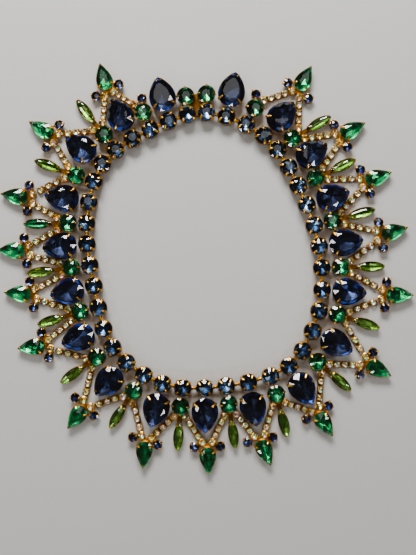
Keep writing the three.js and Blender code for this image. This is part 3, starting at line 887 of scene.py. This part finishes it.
marquise_stone = fluted_stone("marquise stone", marquise_outline, MARQUISE_GIRDLE, crown=1.2, pavilion=1.35)
leaf_stones = lay("leaf stones", marquise_stone, [
    settle(seat, tilt=5) for cup, seat in leaf_seats.items() if cup != FULL_GREEN_LEAF
], leaf_glass, leaf_foil)
full_green_leaf = lay("full green leaf stone", marquise_stone, [
    settle(leaf_seats[FULL_GREEN_LEAF], tilt=5)
], green_glass, green_foil)
leaf_cup = cup_mesh("leaf cup", marquise_outline, (
    (-0.6, SPRAY_LIFT), (-0.4, SPRAY_LIFT + 0.1), (0.0, SPRAY_LIFT + 1.2), (0.1, SPRAY_LIFT + 1.9),
    (0.0, SPRAY_LIFT + 2.0), (-0.3, SPRAY_LIFT + 1.4), (-0.9, SPRAY_LIFT + 0.5),
), sides=32)
leaf_cups = lay("leaf cups", leaf_cup, flat(leaf_seats.values()), low_gilt)
LEAF_OUTER_CLAWS = [0.42, -0.42]
LEAF_INNER_CLAWS = [math.pi - 0.66, math.pi + 0.66]
leaf_claws = lay("leaf claws", short_claw, [
    claw
    for seat in leaf_seats.values()
    for claw in claws_on(seat, marquise_outline, MARQUISE_GIRDLE, LEAF_OUTER_CLAWS, size=0.6)
    + claws_on(seat, marquise_outline, MARQUISE_GIRDLE, LEAF_INNER_CLAWS, size=0.85)
], low_gilt)


# Plain bar with its upper edges taken off
def bar_mesh(name, length, width, bottom, thickness, chamfer=0.15):
    profile = ((0, bottom), (0, bottom + thickness - chamfer), (chamfer, bottom + thickness))
    points = []
    for inset, height in profile:
        for sx, sy in ((-1, -1), (1, -1), (1, 1), (-1, 1)):
            points.append((sx * (length / 2 - inset), sy * (width / 2 - inset), height))
    faces = [(3, 2, 1, 0), (8, 9, 10, 11)]
    for level in (0, 4):
        for k in range(4):
            n = (k + 1) % 4
            faces.append((level + k, level + n, level + 4 + n, level + 4 + k))
    return solid_mesh(name, points, faces)


STEM_LENGTH = 5.5
STEM_UNDER_CUP = 1
stem_distance = GREEN_DIAMETER / 2 + STEM_LENGTH / 2 - STEM_UNDER_CUP
stem = bar_mesh("leaf stem", STEM_LENGTH, width=2.2, bottom=SPRAY_LIFT, thickness=1.0)
leaf_stems = lay(
    "leaf stems", stem, flat(seat_beyond(green_seats[cup], stem_distance, 0) for cup in LEAF_CUPS), dark_gilt
)
LEAF_NODES = [f"green_leaf_{cup:02d}" for cup in LEAF_CUPS]
piece("leaf_stones", [leaf_stones, full_green_leaf], LEAF_NODES)
piece("leaf_cups", [leaf_cups, leaf_claws, leaf_stems], LEAF_NODES)

# Spikes
# Seventeen open Vs of small clear stones with an iridescent coat, five to an arm. The first and last
# sit in claw cups and the three between them in a cup chain. A green drop stands at the point.
ARM_END_DIAMETER = 3.7
ARM_END_HALF_GAP = 2.4
ARM_SPREAD = 28
ARM_SPREAD_AT_END = 43
ARM_STONES = 5
TIP_LENGTH = 13.6
TIP_WIDTH = 8.3
TIP_POINT = 1.2
TIP_RIM = 0.4
TIP_GIRDLE = SPRAY_LIFT + 2.5
SIDE_ROUND_DIAMETER = 4.8
SIDE_ROUND_OFFSET = 6.2
SMALL_SIDES = 8
SMALL_GIRDLE = 2.0
CHAIN_GIRDLE = SMALL_GIRDLE - 0.1
SIDE_GIRDLE = SMALL_GIRDLE + 0.5
FULL_CHAIN_PITCH = 3.5
CHAIN_GAP = 0.1
YOKE_INSET = 0.3

# Each spike by its cup: how far it leans in degrees, its reach in mm, and the turn of its tip
SPIKES = {
    5: (-2, 41, -9), 7: (-1, 43, 3), 9: (0, 44, 3), 11: (0, 44, -6), 13: (1, 44.5, -3), 15: (8, 44, -3),
    17: (7, 40, -2), 19: (1, 42, -12), 21: (0, 42, 0), 23: (-1, 42.5, -12), 25: (2, 43, -6), 27: (4, 43, 9),
    29: (3, 44, 13), 31: (-2, 43.5, 8), 33: (-6, 43, 6), 35: (-5, 41, 2), 37: (3, 40, 12),
}


def on_spike(base, along, across):
    place = Vector(base[:2]) + Matrix.Rotation(base[2], 2) @ Vector((along, across))
    return place.x, place.y, base[2]


foot_distance = (
    flat_radius(GREEN_DIAMETER, ROUND_SIDES) + SEAT_GAP + flat_radius(ARM_END_DIAMETER, SMALL_SIDES)
)
end_stone_seats, chain_stone_seats, tip_seats, side_round_seats = [], [], [], []
arm_bar_seats, yoke_seats = [], []
for cup, (lean, reach, tip_turn) in SPIKES.items():
    base = seat_beyond(seat_of(cup), 0, lean)
    tip_start = reach - TIP_LENGTH
    arm_end = tip_start - ARM_END_DIAMETER / 2
    for side in (1, -1):
        green_cup_number = cup - side
        spread = ARM_SPREAD_AT_END if green_cup_number in END_CUPS else ARM_SPREAD
        foot = Vector(seat_beyond(green_seats[green_cup_number], foot_distance, side * spread)[:2])
        end = Vector(on_spike(base, arm_end, side * ARM_END_HALF_GAP)[:2])
        along = end - foot
        angle = math.atan2(along.y, along.x)
        pitch = along.length / (ARM_STONES - 1)
        size = min(1.0, (pitch - CHAIN_GAP) / FULL_CHAIN_PITCH)
        for place in (foot, end):
            end_stone_seats.append((place.x, place.y, angle))
        for k in range(1, ARM_STONES - 1):
            place = foot + along * k / (ARM_STONES - 1)
            chain_stone_seats.append((place.x, place.y, angle, size))
        middle = (foot + end) / 2
        arm_bar_seats.append((middle.x, middle.y, angle))
        side_round_seats.append(on_spike(base, tip_start, side * SIDE_ROUND_OFFSET))
    yoke_seats.append(on_spike(base, tip_start - YOKE_INSET, 0))
    tip_seats.append(seat_beyond(on_spike(base, tip_start, 0), TIP_LENGTH / 2, tip_turn))
for cup in END_CUPS:
    side_round_seats.append(seat_beyond(green_seats[cup], (GREEN_DIAMETER + SIDE_ROUND_DIAMETER) / 2, 0))

# Colours of the iridescent coat: each holds from its tone up to the next
AURORA_TONES = (
    (0.0, (0.15, 0.07, 0.012)), (0.14, (0.6, 0.28, 0.02)), (0.28, (1.0, 0.6, 0.06)), (0.45, (1.0, 0.86, 0.3)),
    (0.6, (0.05, 0.8, 0.75)), (0.69, (0.4, 1.0, 0.35)), (0.76, (0.4, 0.25, 1.0)), (0.84, (1.0, 1.0, 1.0)),
)


def aurora_material():
    material = bpy.data.materials.new("aurora foil")
    material.use_nodes = True
    nodes, links = material.node_tree.nodes, material.node_tree.links
    shader = nodes["Principled BSDF"]
    shader.inputs["Metallic"].default_value = 1
    shader.inputs["Roughness"].default_value = FOIL_ROUGHNESS
    tone = nodes.new("ShaderNodeAttribute")
    tone.attribute_name = "tone"
    ramp = nodes.new("ShaderNodeValToRGB")
    ramp.color_ramp.interpolation = "CONSTANT"
    ramp.color_ramp.elements[0].color = (*AURORA_TONES[0][1], 1)
    ramp.color_ramp.elements[1].position = AURORA_TONES[1][0]
    ramp.color_ramp.elements[1].color = (*AURORA_TONES[1][1], 1)
    for position, colour in AURORA_TONES[2:]:
        ramp.color_ramp.elements.new(position).color = (*colour, 1)
    links.new(tone.outputs["Fac"], ramp.inputs["Fac"])
    links.new(ramp.outputs["Color"], shader.inputs["Base Color"])
    return material


aurora = aurora_material()
clear_glass = glass_material("clear glass", tint=(1, 0.97, 0.9), roughness=0.04)
small_glass = glass_material("small dark blue glass", tint=(0.4, 0.48, 0.75))
small_foil = foil_material(
    "small dark blue foil", deep=(0.003, 0.004, 0.014), lively=(0.025, 0.04, 0.14),
    edge=(0.02, 0.03, 0.11), pale=(0.4, 0.55, 1.0),
)

end_outline = (3.1, 3.1, 0, 0)
chain_outline = (2.75, 2.75, 0, 0)
side_outline = (4.4, 4.4, 0, 0)
tip_outline = (TIP_LENGTH - TIP_RIM, TIP_WIDTH - TIP_RIM, TIP_POINT, 0)
end_stone = cut_stone(
    "arm end stone", end_outline, facets=6, girdle=SMALL_GIRDLE, table_share=(0.5, 0.5),
    crown=0.65, pavilion=0.9,
)
chain_stone = cut_stone(
    "arm chain stone", chain_outline, facets=6, girdle=CHAIN_GIRDLE, table_share=(0.5, 0.5),
    crown=0.55, pavilion=0.26,
)
side_stone = cut_stone(
    "side round stone", side_outline, facets=8, girdle=SIDE_GIRDLE, table_share=(0.5, 0.5),
    crown=0.8, pavilion=1.2,
)
tip_stone = cut_stone(
    "tip pear stone", tip_outline, facets=8, girdle=TIP_GIRDLE, table_share=(0.55, 0.5),
    crown=1.4, pavilion=1.4,
)
arm_end_stones = lay(
    "arm end stones", end_stone, [settle(seat, tilt=8) for seat in end_stone_seats], clear_glass, aurora
)
arm_chain_stones = lay("arm chain stones", chain_stone, [
    settle(seat, tilt=2, size=seat[3]) for seat in chain_stone_seats
], clear_glass, aurora)
side_rounds = lay(
    "side rounds", side_stone, [settle(seat, tilt=8) for seat in side_round_seats], small_glass, small_foil
)
# The bright mint edge colour is a painted glow of light through the rim of each drop
tip_foil = foil_material(
    "emerald drop foil", deep=(0.0, 0.03, 0.012), lively=(0.002, 0.17, 0.07),
    edge=(0.006, 0.6, 0.27), pale=(0.1, 0.85, 0.45),
)
tip_stones = lay(
    "tip stones", tip_stone, [settle(seat, tilt=5) for seat in tip_seats], green_glass, tip_foil
)

small_cup = cup_mesh("small cup", end_outline, (
    (-0.3, SPRAY_LIFT), (0.1, 0.7), (0.35, 1.4), (0.42, 1.95), (0.2, 2.1), (-0.1, 1.8), (-0.6, 1.0),
), sides=12)
SQUARE_CUP_SIZE = 3.25
square_cup = bar_mesh(
    "square cup", SQUARE_CUP_SIZE, SQUARE_CUP_SIZE, bottom=SPRAY_LIFT, thickness=1.08, chamfer=0.5
)
side_cup = cup_mesh("side cup", side_outline, (
    (-0.8, SPRAY_LIFT), (-0.4, 0.7), (0.1, 1.8), (0.2, 2.4), (0.08, 2.55), (-0.15, 2.2), (-0.8, 1.2),
), sides=14)
tip_cup = cup_mesh("tip cup", tip_outline, (
    (-1.0, SPRAY_LIFT), (-0.7, 0.7), (0.0, 2.2), (0.14, 2.9), (0.0, 3.05), (-0.25, 2.6), (-1.2, 1.4),
), sides=32)
bead_claw = claw_mesh("bead claw", (
    (0.0, -0.9, 0.34), (0.2, -0.2, 0.38), (0.18, 0.2, 0.4), (-0.12, 0.5, 0.36), (-0.42, 0.6, 0.16),
), thickness=0.32)
arm_end_cups = lay("arm end cups", small_cup, flat(end_stone_seats), low_gilt)
arm_square_cups = lay("arm square cups", square_cup, [
    (x, y, 0, 0, 0, turn, size) for x, y, turn, size in chain_stone_seats
], gilt)
side_cups = lay("side cups", side_cup, flat(side_round_seats), low_gilt)
tip_cups = lay("tip cups", tip_cup, flat(tip_seats), low_gilt)
SMALL_CLAWS = (
    (end_stone_seats, end_outline, SMALL_GIRDLE, 1.15),
    (chain_stone_seats, chain_outline, CHAIN_GIRDLE, 0.8),
    (side_round_seats, side_outline, SIDE_GIRDLE, 1.2),
)
spike_claws = lay("spike claws", bead_claw, [
    claw
    for seats, outline, girdle, size in SMALL_CLAWS
    for seat in seats
    for claw in claws_on(seat, outline, girdle, DIAGONALS, size)
], low_gilt)
TIP_CLAWS = (([math.pi - 0.8, math.pi + 0.8], 1.3), ([0.6, -0.6], 0.6))
tip_claws = lay("tip claws", short_claw, [
    claw
    for parameters, size in TIP_CLAWS
    for seat in tip_seats
    for claw in claws_on(seat, tip_outline, TIP_GIRDLE, parameters, size)
], low_gilt)
ARM_BAR_LENGTH = 12.5
arm_bar = bar_mesh("arm bar", ARM_BAR_LENGTH, width=1.6, bottom=SPRAY_LIFT, thickness=0.7)
arm_bars = lay("arm bars", arm_bar, flat(arm_bar_seats), dark_gilt)
yoke = bar_mesh("yoke", length=1.6, width=2 * SIDE_ROUND_OFFSET, bottom=SPRAY_LIFT, thickness=0.9)
yokes = lay("yokes", yoke, flat(yoke_seats), low_gilt)
SPIKE_NODES = [f"spike_{cup:02d}" for cup in SPIKES]
piece("spike_aurora_stones", [arm_end_stones, arm_chain_stones], SPIKE_NODES)
piece("spike_tip_stones", [tip_stones], SPIKE_NODES)
SIDE_ROUND_NODES = SPIKE_NODES + [green_node(cup) for cup in END_CUPS]
piece("side_round_stones", [side_rounds], SIDE_ROUND_NODES)
spike_metal = [
    arm_end_cups, arm_square_cups, side_cups, tip_cups, spike_claws, tip_claws, arm_bars, yokes,
]
piece("spike_cups", spike_metal, SPIKE_NODES)

# Clasp
# A flat box under the cups at the back of the neck, taken to be gilt brass that is soldered to them.
# It doesn't show, so it stays one plain piece.
CLASP_LENGTH = 14
CLASP_DEPTH = 11
CLASP_THICKNESS = 1.7
clasp_turn = math.atan2(cup_place(2).y - cup_place(1).y, cup_place(2).x - cup_place(1).x)
clasp_shape = bar_mesh("clasp shape", CLASP_LENGTH, CLASP_DEPTH, 0, CLASP_THICKNESS, chamfer=0.3)
clasp_mesh = lay("clasp box", clasp_shape, flat([(clasp_x, clasp_y, clasp_turn)]), dark_gilt)
piece("clasp_box", [clasp_mesh], ["clasp"])

# Camera
# The photo looks straight down on the necklace, and the frame is centred over its middle pixel. How
# high it was taken doesn't show, so the height is a guess.
PHOTO_WIDTH = 416
PHOTO_HEIGHT = 555
MM_PER_PIXEL = 0.48
LOOP_ORIGIN_PIXEL = (207.5, 268)
CAMERA_HEIGHT = 330
FOCUS_HEIGHT = 3

camera_data = bpy.data.cameras.new("camera")
camera_data.sensor_fit = "HORIZONTAL"
camera_data.angle = 2 * math.atan(PHOTO_WIDTH * MM_PER_PIXEL / 2 / (CAMERA_HEIGHT - FOCUS_HEIGHT))
camera = bpy.data.objects.new("camera", camera_data)
camera.location = (
    ((PHOTO_WIDTH / 2 - LOOP_ORIGIN_PIXEL[0]) * MM_PER_PIXEL + SHIFT_X) * MM,
    ((LOOP_ORIGIN_PIXEL[1] - PHOTO_HEIGHT / 2) * MM_PER_PIXEL + SHIFT_Y) * MM,
    CAMERA_HEIGHT * MM,
)
bpy.context.collection.objects.link(camera)
bpy.context.scene.camera = camera
